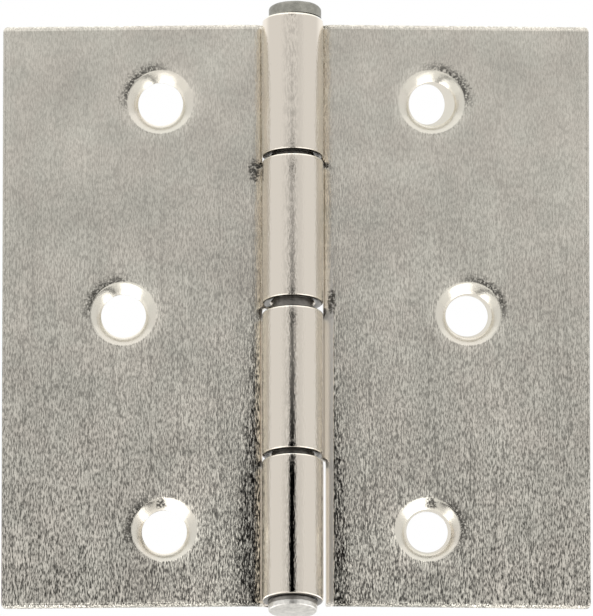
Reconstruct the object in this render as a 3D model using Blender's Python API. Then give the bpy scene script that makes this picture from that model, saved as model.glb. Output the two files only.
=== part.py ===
"""Square butt hinge, nickel plated steel, lying opened flat.

Two leaves are pressed from sheet, joggled beside the barrel and rolled into four knuckles, two on each
leaf. One pin with peened ends runs through them. Each leaf is made the way the press makes it: a flat
blank with its tabs, notches and rounded edges, then wrapped along the bending line of the sheet.

Frame: +Z runs up the pin, the leaves lie along X, the countersunk faces look towards -Y. The origin is on
the pin's axis, half way up the leaves.
"""

import math

import bmesh
import bpy
from mathutils import Matrix, Vector

MM = 0.001

# Leaves
LEAF_HEIGHT = 61.1 * MM
LEFT_WIDTH = 29.3 * MM  # pin axis to the outer edge
RIGHT_WIDTH = 29.95 * MM
SHEET = 1.05 * MM
LEAF_SETBACK = 0.94 * MM  # pin axis back to the countersunk face
LEAF_LEAN = math.radians(2.0)  # each leaf turned back from flat, until its outer edge meets the table
EDGE_ROUND = 0.4 * MM  # the shears draw the sheet's edges over
CORNER_ROUND = 0.5 * MM
ROUND_STEPS = 2
CORNER_STEPS = 4

# Joggle beside the barrel
RAMP_ANGLE = math.radians(17.0)
JOGGLE_RADIUS = 2.0 * MM  # at the middle of the sheet
JOGGLE_STEPS = 3

# Pin and knuckles
PIN_DIAMETER = 4.0 * MM
PIN_CLEARANCE = 0.04 * MM  # radial
SEAM_GAP = 0.14 * MM  # rolled end to its own ramp
ROLL_STEP = math.radians(6.0)
KNUCKLE_1 = 14.45 * MM
KNUCKLE_2 = 15.03 * MM
KNUCKLE_3 = 15.02 * MM
GAP_1_2 = 0.4 * MM
GAP_2_3 = 0.97 * MM
GAP_3_4 = 0.48 * MM
LEFT_NOTCH_CLEARANCE = 0.46 * MM  # rounded edge to the other leaf's knuckle
RIGHT_UPPER_NOTCH_CLEARANCE = 0.46 * MM
RIGHT_LOWER_NOTCH_CLEARANCE = 0.6 * MM  # cut wide enough to see through
NOTCH_RADIUS = 0.4 * MM

# Peened pin ends
HEAD_SEAT = 0.08 * MM  # play between a head and the knuckle under it
TOP_HEAD_DIAMETER = 5.35 * MM
TOP_HEAD_HEIGHT = 1.37 * MM
TOP_HEAD_RIM = 0.4 * MM
TOP_HEAD_SHIFT = 0.22 * MM  # peened a little off centre
BOTTOM_HEAD_DIAMETER = 4.98 * MM
BOTTOM_HEAD_RIM = 0.2 * MM
BOTTOM_HEAD_CROWN = 0.15 * MM
BOTTOM_HEAD_HEIGHT = 1.2 * MM
PIN_SIDES = 48

# Countersunk screw holes, in the same places on both leaves: in from the outer edge, up from the middle
SINK_DIAMETER = 6.53 * MM
SINK_FOOT = 4.7 * MM
SINK_DEPTH = 0.85 * MM
TOP_HOLE_INSET = 15.9 * MM
TOP_HOLE_RISE = 22.4 * MM
MIDDLE_HOLE_INSET = 12.2 * MM
MIDDLE_HOLE_RISE = 0.1 * MM
LOW_HOLE_INSET = 16.35 * MM
LOW_HOLE_DROP = 22.6 * MM
HOLE_SIDES = 48

# Bores under the countersinks. On the right leaf the pressed countersinks have drawn the steel in, most of
# all at the top hole, where a crescent of it is left on the side away from the barrel.
LEFT_BORE_WIDTH = 4.52 * MM
LEFT_BORE_HEIGHT = 4.58 * MM
RIGHT_TOP_BORE_WIDTH = 3.62 * MM
RIGHT_TOP_BORE_SHIFT = 0.46 * MM
RIGHT_MIDDLE_BORE_WIDTH = 4.26 * MM
RIGHT_MIDDLE_BORE_SHIFT = 0.18 * MM
RIGHT_LOW_BORE_WIDTH = 4.16 * MM
RIGHT_LOW_BORE_SHIFT = 0.05 * MM
RIGHT_BORE_HEIGHT = 4.32 * MM

# Fits
BORE_RADIUS = PIN_DIAMETER / 2 + PIN_CLEARANCE
BARREL_RADIUS = BORE_RADIUS + SHEET
ROLL_RADIUS = BORE_RADIUS + SHEET / 2
LEAF_MIDDLE = LEAF_SETBACK + SHEET / 2
RAMP_LINE = (ROLL_RADIUS * math.cos(RAMP_ANGLE) - LEAF_MIDDLE) / math.sin(RAMP_ANGLE)
BEND_X = ROLL_RADIUS * math.sin(RAMP_ANGLE) + RAMP_LINE * math.cos(RAMP_ANGLE)
BEND_TANGENT = JOGGLE_RADIUS * math.tan(RAMP_ANGLE / 2)
RAMP_LENGTH = RAMP_LINE - BEND_TANGENT
ROLL_START = math.pi / 2 - RAMP_ANGLE
ROLL_END = 2 * math.pi + math.asin((BORE_RADIUS - SEAM_GAP) / BARREL_RADIUS) - RAMP_ANGLE
HOLES = (
    (TOP_HOLE_INSET, TOP_HOLE_RISE),
    (MIDDLE_HOLE_INSET, MIDDLE_HOLE_RISE),
    (LOW_HOLE_INSET, -LOW_HOLE_DROP),
)
LEFT_BORES = ((LEFT_BORE_WIDTH, LEFT_BORE_HEIGHT, 0.0),) * 3
RIGHT_BORES = (
    (RIGHT_TOP_BORE_WIDTH, RIGHT_BORE_HEIGHT, RIGHT_TOP_BORE_SHIFT),
    (RIGHT_MIDDLE_BORE_WIDTH, RIGHT_BORE_HEIGHT, RIGHT_MIDDLE_BORE_SHIFT),
    (RIGHT_LOW_BORE_WIDTH, RIGHT_BORE_HEIGHT, RIGHT_LOW_BORE_SHIFT),
)


def knuckle_ends():
    """Top and bottom of each knuckle, from the top one down."""
    top_1 = LEAF_HEIGHT / 2
    top_2 = top_1 - KNUCKLE_1 - GAP_1_2
    top_3 = top_2 - KNUCKLE_2 - GAP_2_3
    top_4 = top_3 - KNUCKLE_3 - GAP_3_4
    return (
        (top_1, top_1 - KNUCKLE_1),
        (top_2, top_2 - KNUCKLE_2),
        (top_3, top_3 - KNUCKLE_3),
        (top_4, -LEAF_HEIGHT / 2),
    )


class SheetLine:
    """Middle line of the sheet, seen along the pin, from the leaf's outer edge to the rolled end."""

    def __init__(self, width):
        self.width = width
        self.flat = width - BEND_X - BEND_TANGENT
        self.joggle = self.flat + JOGGLE_RADIUS * RAMP_ANGLE
        self.ramp = self.joggle + RAMP_LENGTH
        self.length = self.ramp + ROLL_RADIUS * (ROLL_END - ROLL_START)

    def place(self, run):
        """Point and direction of the line at a distance from the outer edge."""
        if run <= self.flat:
            return Vector((self.width - run, LEAF_MIDDLE)), Vector((-1.0, 0.0))
        if run <= self.joggle:
            turn = (run - self.flat) / JOGGLE_RADIUS
            x = self.width - self.flat - JOGGLE_RADIUS * math.sin(turn)
            y = LEAF_MIDDLE + JOGGLE_RADIUS * (1 - math.cos(turn))
            return Vector((x, y)), Vector((-math.cos(turn), math.sin(turn)))
        if run <= self.ramp:
            start = Vector((math.cos(ROLL_START), math.sin(ROLL_START))) * ROLL_RADIUS
            along = Vector((-math.cos(RAMP_ANGLE), math.sin(RAMP_ANGLE)))
            return start - along * (self.ramp - run), along
        angle = ROLL_START + (run - self.ramp) / ROLL_RADIUS
        out = Vector((math.cos(angle), math.sin(angle)))
        return out * ROLL_RADIUS, Vector((-out.y, out.x))

    def creases(self):
        """Distances at which the flat blank is divided so that it can bend."""
        runs = [self.flat + (self.joggle - self.flat) * i / JOGGLE_STEPS for i in range(JOGGLE_STEPS + 1)]
        steps = math.ceil((ROLL_END - ROLL_START) / ROLL_STEP)
        runs += [self.ramp + (self.length - self.ramp) * i / steps for i in range(steps)]
        return runs

    def notch(self, clearance):
        """Distance of a notch's edge whose rounded corner clears the other leaf's knuckle."""
        to_centre = BARREL_RADIUS + clearance + EDGE_ROUND
        reach = math.sqrt(to_centre**2 - (BORE_RADIUS + EDGE_ROUND) ** 2) - EDGE_ROUND
        return self.ramp - reach


def fillet(corner, before, after, radius, steps):
    """Rounds the corner of an outline that runs from before, through corner, to after."""
    to_before = (Vector(before) - Vector(corner)).normalized()
    to_after = (Vector(after) - Vector(corner)).normalized()
    centre = Vector(corner) + (to_before + to_after) * radius
    points = []
    for i in range(steps + 1):
        turn = math.pi / 2 * i / steps
        points.append(centre - to_after * radius * math.cos(turn) - to_before * radius * math.sin(turn))
    return points


def blank_outline(line, tabs, clearances):
    """Outline of the flat blank: distance from the outer edge along X, height along Y."""
    half = LEAF_HEIGHT / 2
    corners = [((0.0, -half), CORNER_ROUND), ((0.0, half), CORNER_ROUND)]
    notches = [line.notch(clearance) for clearance in clearances]
    height = half
    for top, bottom in tabs:
        if top < height:
            notch = notches.pop(0)
            upper = NOTCH_RADIUS if height < half else 0.0
            corners += [((notch, height), upper), ((notch, top), NOTCH_RADIUS)]
        corners += [((line.length, top), 0.0), ((line.length, bottom), 0.0)]
        height = bottom
    if height > -half:
        notch = notches.pop(0)
        corners += [((notch, height), NOTCH_RADIUS), ((notch, -half), 0.0)]
    outline = []
    for i, (corner, radius) in enumerate(corners):
        before, after = corners[i - 1][0], corners[(i + 1) % len(corners)][0]
        if radius:
            outline += fillet(corner, before, after, radius, CORNER_STEPS)
        else:
            outline.append(Vector(corner))
    return outline


def blank(line, tabs, clearances):
    """Flat blank with rounded edges, its middle plane at Z = 0 and the countersunk side up."""
    bm = bmesh.new()
    verts = [bm.verts.new((p.x, p.y, -SHEET / 2)) for p in blank_outline(line, tabs, clearances)]
    face = bm.faces.new(verts)
    raised = bmesh.ops.extrude_face_region(bm, geom=[face])
    top = [v for v in raised["geom"] if isinstance(v, bmesh.types.BMVert)]
    bmesh.ops.translate(bm, verts=top, vec=(0, 0, SHEET))
    bmesh.ops.recalc_face_normals(bm, faces=bm.faces)
    rims = [e for e in bm.edges if abs(e.verts[0].co.z - e.verts[1].co.z) < SHEET / 2]
    bmesh.ops.bevel(
        bm, geom=rims, offset=EDGE_ROUND, offset_type="OFFSET", segments=ROUND_STEPS, profile=0.5,
        affect="EDGES", clamp_overlap=False,
    )
    for run in line.creases():
        whole = bm.verts[:] + bm.edges[:] + bm.faces[:]
        bmesh.ops.bisect_plane(bm, geom=whole, dist=1e-7, plane_co=(run, 0, 0), plane_no=(1, 0, 0))
    return bm


def bend(bm, line):
    """Wraps the flat blank along the sheet's line: height goes to Z, the countersunk side to -Y."""
    for vert in bm.verts:
        run, height, depth = vert.co
        point, along = line.place(run)
        across = Vector((-along.y, along.x))
        place = point + across * depth
        vert.co = (place.x, place.y, height)


def material(name, colour, roughness, metallic):
    """Principled material from a colour, a roughness and a metallic value."""
    made = bpy.data.materials.new(name)
    made.use_nodes = True
    shader = made.node_tree.nodes["Principled BSDF"]
    shader.inputs["Base Color"].default_value = (*colour, 1.0)
    shader.inputs["Roughness"].default_value = roughness
    shader.inputs["Metallic"].default_value = metallic
    return made


def add_object(name, bm, finish, smooth_angle=math.radians(30)):
    """Puts a mesh into the scene as one named object."""
    bmesh.ops.recalc_face_normals(bm, faces=bm.faces)
    mesh = bpy.data.meshes.new(name)
    bm.to_mesh(mesh)
    bm.free()
    mesh.shade_smooth()
    mesh.set_sharp_from_angle(angle=smooth_angle)
    made = bpy.data.objects.new(name, mesh)
    bpy.context.scene.collection.objects.link(made)
    if finish:
        mesh.materials.append(finish)
    return made


def turned(profile, sides):
    """Solid of revolution about Z from a profile that starts and ends on the axis."""
    bm = bmesh.new()
    verts = [bm.verts.new((radius, 0, height)) for radius, height in profile]
    edges = [bm.edges.new(pair) for pair in zip(verts, verts[1:])]
    bmesh.ops.spin(
        bm, geom=verts + edges, cent=(0, 0, 0), axis=(0, 0, 1), angle=2 * math.pi, steps=sides, use_merge=True
    )
    bmesh.ops.remove_doubles(bm, verts=bm.verts, dist=1e-6)
    return bm


def stepped_round(sections, stretch=1.0):
    """Closed round solid about Z through sections of a height and a diameter, with plain flat ends."""
    bm = bmesh.new()
    height, diameter = sections[0]
    place = Matrix.Translation((0, 0, height))
    bmesh.ops.create_circle(bm, cap_ends=True, segments=HOLE_SIDES, radius=diameter / 2, matrix=place)
    face = bm.faces[:][0]
    for (low, narrow), (high, wide) in zip(sections, sections[1:]):
        raised = bmesh.ops.extrude_face_region(bm, geom=[face])
        rim = [v for v in raised["geom"] if isinstance(v, bmesh.types.BMVert)]
        face = [f for f in raised["geom"] if isinstance(f, bmesh.types.BMFace)][0]
        bmesh.ops.translate(bm, verts=rim, vec=(0, 0, high - low))
        bmesh.ops.scale(bm, vec=(wide / narrow, wide / narrow, 1), verts=rim)
    bmesh.ops.scale(bm, vec=(1, stretch, 1), verts=bm.verts)
    return bm


def cutter(name, bm, leaf, place):
    """Hidden cutting tool, carried by the leaf that it cuts."""
    tool = add_object(name, bm, None)
    tool.hide_render = True
    tool.display_type = "WIRE"
    tool.parent = leaf
    tool.location = place
    tool.rotation_euler = (math.radians(90), 0, 0)
    cut = leaf.modifiers.new(name, "BOOLEAN")
    cut.operation = "DIFFERENCE"
    cut.solver = "EXACT"
    cut.object = tool


def drill_holes(leaf, width, side, bores):
    """Countersinks from the front face and the through bores, by the leaf's hole pattern."""
    over = SHEET / 2
    mouth = SINK_DIAMETER + (SINK_DIAMETER - SINK_FOOT) / SINK_DEPTH * over
    for i, ((inset, height), (bore_width, bore_height, shift)) in enumerate(zip(HOLES, bores), start=1):
        x = side * (width - inset)
        sink = stepped_round(((-SINK_DEPTH, SINK_FOOT), (over, mouth)))
        cutter(f"{leaf.name}_countersink_{i}", sink, leaf, (x, LEAF_SETBACK, height))
        through = ((-SHEET - over, bore_width), (-SINK_DEPTH / 2, bore_width))
        bore = stepped_round(through, bore_height / bore_width)
        cutter(f"{leaf.name}_bore_{i}", bore, leaf, (x - side * shift, LEAF_SETBACK, height))


def make_leaf(name, width, side, tabs, clearances, bores, finish):
    """One leaf, its origin on the pin's axis. Side is 1 for the right leaf and -1 for the left."""
    line = SheetLine(width)
    bm = blank(line, tabs, clearances)
    bend(bm, line)
    if side < 0:
        bmesh.ops.transform(bm, matrix=Matrix.Scale(-1, 4, (1, 0, 0)), verts=bm.verts)
    leaf = add_object(name, bm, finish)
    leaf.rotation_euler = (0, 0, side * LEAF_LEAN)
    drill_holes(leaf, width, side, bores)
    flat = leaf.modifiers.new("flat_faces", "WEIGHTED_NORMAL")
    flat.keep_sharp = True
    return leaf


def round_corner(centre_radius, centre_height, radius, start, end, steps):
    """Points of an arc in the pin's profile, between two angles in degrees."""
    points = []
    for i in range(steps + 1):
        angle = math.radians(start + (end - start) * i / steps)
        points.append((centre_radius + radius * math.cos(angle), centre_height + radius * math.sin(angle)))
    return points


def make_pin(finish):
    """Pin with both ends peened over, its origin on its axis."""
    half = LEAF_HEIGHT / 2
    shaft = PIN_DIAMETER / 2
    top_radius = TOP_HEAD_DIAMETER / 2
    low_radius = BOTTOM_HEAD_DIAMETER / 2
    top = half + TOP_HEAD_HEIGHT
    low = -half - BOTTOM_HEAD_HEIGHT
    crown = BOTTOM_HEAD_CROWN
    profile = [(0, low)]
    profile += [(low_radius * 0.45, low + crown * 0.2)]
    rim = BOTTOM_HEAD_RIM
    profile += round_corner(low_radius - rim, low + crown + rim, rim, -70, 0, 4)
    profile += [(low_radius, -half - HEAD_SEAT), (shaft, -half - HEAD_SEAT)]
    profile += [(shaft, half + HEAD_SEAT), (top_radius, half + HEAD_SEAT)]
    profile += round_corner(top_radius - TOP_HEAD_RIM, top - TOP_HEAD_RIM, TOP_HEAD_RIM, 0, 90, 4)
    profile += [(0, top)]
    bm = turned(profile, PIN_SIDES)
    for vert in bm.verts:
        if vert.co.z > half + HEAD_SEAT / 2 and vert.co.xy.length > shaft + PIN_CLEARANCE:
            vert.co.x += TOP_HEAD_SHIFT
        elif vert.co.z > half + HEAD_SEAT * 2:
            vert.co.x += TOP_HEAD_SHIFT
    return add_object("hinge_pin", bm, finish)


def main():
    for old in list(bpy.data.objects):
        bpy.data.objects.remove(old, do_unlink=True)
    leaf_nickel = material("leaf_nickel", (0.50, 0.48, 0.42), 0.36, 1.0)
    pin_steel = material("pin_steel", (0.33, 0.32, 0.30), 0.42, 1.0)
    ends = knuckle_ends()
    notches = (LEFT_NOTCH_CLEARANCE, LEFT_NOTCH_CLEARANCE)
    make_leaf("left_leaf", LEFT_WIDTH, -1, (ends[1], ends[3]), notches, LEFT_BORES, leaf_nickel)
    notches = (RIGHT_UPPER_NOTCH_CLEARANCE, RIGHT_LOWER_NOTCH_CLEARANCE)
    make_leaf("right_leaf", RIGHT_WIDTH, 1, (ends[0], ends[2]), notches, RIGHT_BORES, leaf_nickel)
    make_pin(pin_steel)


main()
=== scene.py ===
"""Looks of a nickel plated square butt hinge, opened flat and seen a little from below.

Both leaves are formed again from their flat blanks, with finer bends than the solids have, eased
knuckle ends and countersinks pressed into the sheet. The pin has its two peened ends. Lengths are in
metres, +Z runs up the pin and the countersunk faces look towards -Y.
"""

import logging
import math
from dataclasses import dataclass, field
from enum import Enum
from typing import Any, Callable

import bmesh
import bpy
from mathutils import Matrix, Vector, noise


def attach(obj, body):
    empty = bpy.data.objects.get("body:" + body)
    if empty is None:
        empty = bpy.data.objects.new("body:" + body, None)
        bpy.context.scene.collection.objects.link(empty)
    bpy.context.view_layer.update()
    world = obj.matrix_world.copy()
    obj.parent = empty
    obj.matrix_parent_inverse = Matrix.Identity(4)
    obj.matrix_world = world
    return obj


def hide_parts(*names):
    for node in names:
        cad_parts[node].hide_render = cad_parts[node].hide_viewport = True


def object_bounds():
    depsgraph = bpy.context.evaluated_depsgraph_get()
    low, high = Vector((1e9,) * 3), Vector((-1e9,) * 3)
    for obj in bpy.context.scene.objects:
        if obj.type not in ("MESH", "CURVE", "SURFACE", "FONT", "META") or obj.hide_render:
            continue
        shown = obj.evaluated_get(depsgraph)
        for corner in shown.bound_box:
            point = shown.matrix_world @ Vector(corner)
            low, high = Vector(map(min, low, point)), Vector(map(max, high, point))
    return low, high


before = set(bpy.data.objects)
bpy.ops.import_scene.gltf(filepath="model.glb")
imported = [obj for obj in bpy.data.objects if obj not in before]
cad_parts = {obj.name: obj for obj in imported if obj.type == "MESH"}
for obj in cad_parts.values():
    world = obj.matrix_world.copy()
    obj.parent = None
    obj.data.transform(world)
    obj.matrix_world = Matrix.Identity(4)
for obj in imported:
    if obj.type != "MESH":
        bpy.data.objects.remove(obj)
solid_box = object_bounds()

LOG = logging.getLogger("hinge")
MM = 0.001
MERGE = 1e-7
FLAG_ENDS = (0.1, 0.1)
Colour = tuple[float, float, float]
Band = tuple[float, float]
Point = tuple[float, float]
Pair = tuple[float, float]


class Side(Enum):
    """Side of the pin that a leaf lies on, as the sign of X there."""

    LEFT = -1
    RIGHT = 1


class Facing(Enum):
    """How a studio card hangs, as the turn of a plane that starts level."""

    LEVEL = (0.0, 0.0, 0.0)
    UPRIGHT = (math.radians(90), 0.0, 0.0)


@dataclass(frozen=True)
class Grain:
    """Noise of one scale: width of a blotch, finer octaves, their share, and width over length along Z."""

    width: float
    detail: float = 2.0
    roughness: float = 0.5
    stretch: float = 1.0


def math_node(operation: str, swapped: bool = False) -> Callable[["Field", Any], "Field"]:
    """Makes an operator that adds one Math node.

    Args:
        operation: Name of the Math node's operation.
        swapped: True where the field is the second of the two.

    Returns:
        The operator.
    """

    def apply(value: "Field", other: Any = 0.0) -> "Field":
        """Adds the node and gives its result."""
        first, second = (other, value) if swapped else (value, other)
        return value.shading.node("ShaderNodeMath", {"operation": operation}, {0: first, 1: second})

    return apply


class Field:
    """A varying number, colour or vector in a node tree, which can be written into sums."""

    __add__, __radd__ = math_node("ADD"), math_node("ADD", True)
    __sub__, __rsub__ = math_node("SUBTRACT"), math_node("SUBTRACT", True)
    __mul__, __rmul__ = math_node("MULTIPLY"), math_node("MULTIPLY", True)
    __truediv__, __pow__ = math_node("DIVIDE"), math_node("POWER")
    __abs__, sine, most = math_node("ABSOLUTE"), math_node("SINE"), math_node("MAXIMUM")

    def __init__(self, shading: "Shading", socket: bpy.types.NodeSocket) -> None:
        """Keeps the tree and the socket that gives the values."""
        self.shading = shading
        self.socket = socket

    def rise(self, band: Band, start: float = 0.0) -> "Field":
        """Soft step from 0 at the band's first value to 1 at its second, which may be the smaller.

        Args:
            band: Values between which it steps.
            start: Value from which the band is counted.

        Returns:
            A field from 0 to 1.
        """
        low, high = start + band[0], start + band[1]
        settings = {"interpolation_type": "SMOOTHSTEP", "clamp": True}
        if low < high:
            ends = {"Value": self, "From Min": low, "From Max": high, "To Min": 0.0, "To Max": 1.0}
        else:
            ends = {"Value": self, "From Min": high, "From Max": low, "To Min": 1.0, "To Max": 0.0}
        return self.shading.node("ShaderNodeMapRange", settings, ends)


class Shading:
    """Node tree of one material or of the world, filled by expressions."""

    def __init__(self, owner: Any) -> None:
        """Starts an empty tree.

        Args:
            owner: Material or world that it belongs to.
        """
        owner.use_nodes = True
        self.tree = owner.node_tree
        self.tree.nodes.clear()

    def node(
        self,
        kind: str,
        settings: dict[str, Any] | None = None,
        inputs: dict[str | int, Any] | None = None,
        output: str | int = 0,
    ) -> Field:
        """Makes one node, sets its choices and then its sockets.

        Args:
            kind: Blender's name for the node.
            settings: Choices such as an operation.
            inputs: Value or field for each socket, by name or place.
            output: Socket that the result is read from.

        Returns:
            The chosen output as a field, which is empty where the node has none.
        """
        made = self.tree.nodes.new(kind)
        for name, value in (settings or {}).items():
            setattr(made, name, value)
        for key, value in (inputs or {}).items():
            if isinstance(value, Field):
                self.tree.links.new(value.socket, made.inputs[key])
            else:
                made.inputs[key].default_value = value
        return Field(self, made.outputs[output] if made.outputs else None)

    def place(self) -> Field:
        """Object coordinates, which are the hinge's own frame on every piece."""
        return self.node("ShaderNodeTexCoord", output="Object")

    def axes(self, vector: Field) -> tuple[Field, ...]:
        """X, Y and Z of a vector."""
        made = self.node("ShaderNodeSeparateXYZ", {}, {0: vector}).socket.node
        return tuple(Field(self, output) for output in made.outputs)

    def vector(self, operation: str, first: Field, second: Any) -> Field:
        """Vector Math node on a vector field and a vector."""
        return self.node("ShaderNodeVectorMath", {"operation": operation}, {0: first, 1: second})

    def number(self, operation: str, first: Field, second: Any = (0.0, 0.0, 0.0)) -> Field:
        """Vector Math node whose result is a number."""
        return self.node("ShaderNodeVectorMath", {"operation": operation}, {0: first, 1: second}, "Value")

    def grain(self, place: Field, grain: Grain) -> Field:
        """Noise between 0 and 1.

        Args:
            place: Place that it is read at.
            grain: Its scale.

        Returns:
            The noise.
        """
        if grain.stretch != 1.0:
            place = self.vector("MULTIPLY", place, (1.0, 1.0, grain.stretch))
        scale = {"Scale": 1.0 / grain.width, "Detail": grain.detail, "Roughness": grain.roughness}
        return self.node("ShaderNodeTexNoise", {"noise_dimensions": "3D"}, {"Vector": place, **scale})

    def blend(self, factor: Field, low: Any, high: Any) -> Field:
        """Colour between two colours.

        Args:
            factor: Field from 0 to 1.
            low: Colour or field at 0.
            high: Colour or field at 1.

        Returns:
            The mixed colour.
        """
        ends = [value if isinstance(value, Field) else (*value, 1.0) for value in (low, high)]
        return self.node("ShaderNodeMix", {"data_type": "RGBA"}, {0: factor, 6: ends[0], 7: ends[1]}, 2)

    def shade(self, colour: Field, factor: Field) -> Field:
        """Colour multiplied by a number."""
        return self.node("ShaderNodeVectorMath", {"operation": "SCALE"}, {0: colour, "Scale": factor})

    def bump(self, height: Field, distance: float) -> Field:
        """Normal over a height field whose step from 0 to 1 is a distance in metres."""
        return self.node("ShaderNodeBump", {}, {"Strength": 1.0, "Distance": distance, "Height": height})

    def surface(self, shader: Field) -> None:
        """Finishes a material with its shader."""
        self.node("ShaderNodeOutputMaterial", {}, {"Surface": shader})

    def metal(self, colour: Field, roughness: Field, normal: Field) -> None:
        """Finishes a material as bare metal."""
        values = {"Base Color": colour, "Roughness": roughness, "Metallic": 1.0, "Normal": normal}
        self.surface(self.node("ShaderNodeBsdfPrincipled", {}, values))

    def mix(self, factor: Field, first: Field, second: Field) -> None:
        """Finishes a material as a mix of two shaders."""
        self.surface(self.node("ShaderNodeMixShader", {}, {0: factor, 1: first, 2: second}))


@dataclass(frozen=True)
class Stock:
    """Sheet and pin that both leaves share, with the bends between the flat and the barrel."""

    height: float = 61.1 * MM
    sheet: float = 1.05 * MM
    setback: float = 0.94 * MM
    lean: float = math.radians(2.0)
    edge_round: float = 0.4 * MM
    corner_round: float = 0.5 * MM
    notch_radius: float = 0.4 * MM
    ramp_angle: float = math.radians(17.0)
    joggle_radius: float = 2.0 * MM
    pin_diameter: float = 4.0 * MM
    pin_clearance: float = 0.04 * MM
    seam_gap: float = 0.14 * MM

    @property
    def bore_radius(self) -> float:
        """Inner radius of a rolled knuckle."""
        return self.pin_diameter / 2 + self.pin_clearance

    @property
    def barrel_radius(self) -> float:
        """Outer radius of a rolled knuckle."""
        return self.bore_radius + self.sheet

    @property
    def roll_radius(self) -> float:
        """Radius of the sheet's middle in a knuckle."""
        return self.bore_radius + self.sheet / 2


@dataclass(frozen=True)
class Knuckles:
    """Lengths of the first three knuckles and the gaps after them, from the top down."""

    lengths: tuple[float, ...] = (14.45 * MM, 15.03 * MM, 15.02 * MM)
    gaps: tuple[float, ...] = (0.4 * MM, 0.97 * MM, 0.48 * MM)

    def ends(self, height: float) -> list[Point]:
        """Works out where each of the four knuckles starts and ends.

        Args:
            height: Height of the leaves.

        Returns:
            Top and bottom of each knuckle.
        """
        top = height / 2
        found = []
        for length, gap in zip(self.lengths, self.gaps):
            found.append((top, top - length))
            top = top - length - gap
        return found + [(top, -height / 2)]


@dataclass(frozen=True)
class Countersink:
    """Pressed countersink: a cone, an eased rim and a shallow dish that the press drew round it.

    dish_shape has how far the dish's two outer rings lie under and over the face, as shares of its depth,
    and dish_reach how far its last ring and the cutter's top reach, as multiples of its width.
    """

    mouth: float = 6.53 * MM
    foot: float = 4.7 * MM
    depth: float = 0.85 * MM
    rim_width: float = 0.12 * MM
    rim_depth: float = 0.05 * MM
    dish_width: float = 1.0 * MM
    dish_depth: float = 0.022 * MM
    dish_shape: Pair = (0.35, 0.5)
    dish_reach: Pair = (3.0, 3.2)
    sides: int = 96

    def sections(self, over: float) -> list[Point]:
        """Heights and diameters of the cutter, from its foot to a little above the face.

        Args:
            over: Height of the cutter above the face.

        Returns:
            Height and diameter of each section.
        """
        slope = (self.mouth - self.foot) / self.depth
        below = self.rim_depth + self.dish_depth
        return [
            (-self.depth, self.foot),
            (-below, self.mouth - slope * below),
            (-self.dish_depth, self.mouth + self.rim_width),
            (-self.dish_depth * self.dish_shape[0], self.mouth + self.dish_width),
            (self.dish_depth * self.dish_shape[1], self.mouth + self.dish_reach[0] * self.dish_width),
            (over, self.mouth + self.dish_reach[1] * self.dish_width),
        ]


@dataclass(frozen=True)
class Hole:
    """One screw hole: its place on the leaf and the bore under its countersink."""

    inset: float
    rise: float
    bore_width: float
    bore_height: float
    shift: float = 0.0


@dataclass(frozen=True)
class DarkMark:
    """Dark mark by itself on a leaf's front, drawn out upwards where its squash is under 1."""

    x: float
    z: float
    radius: float
    squash: float


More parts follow.
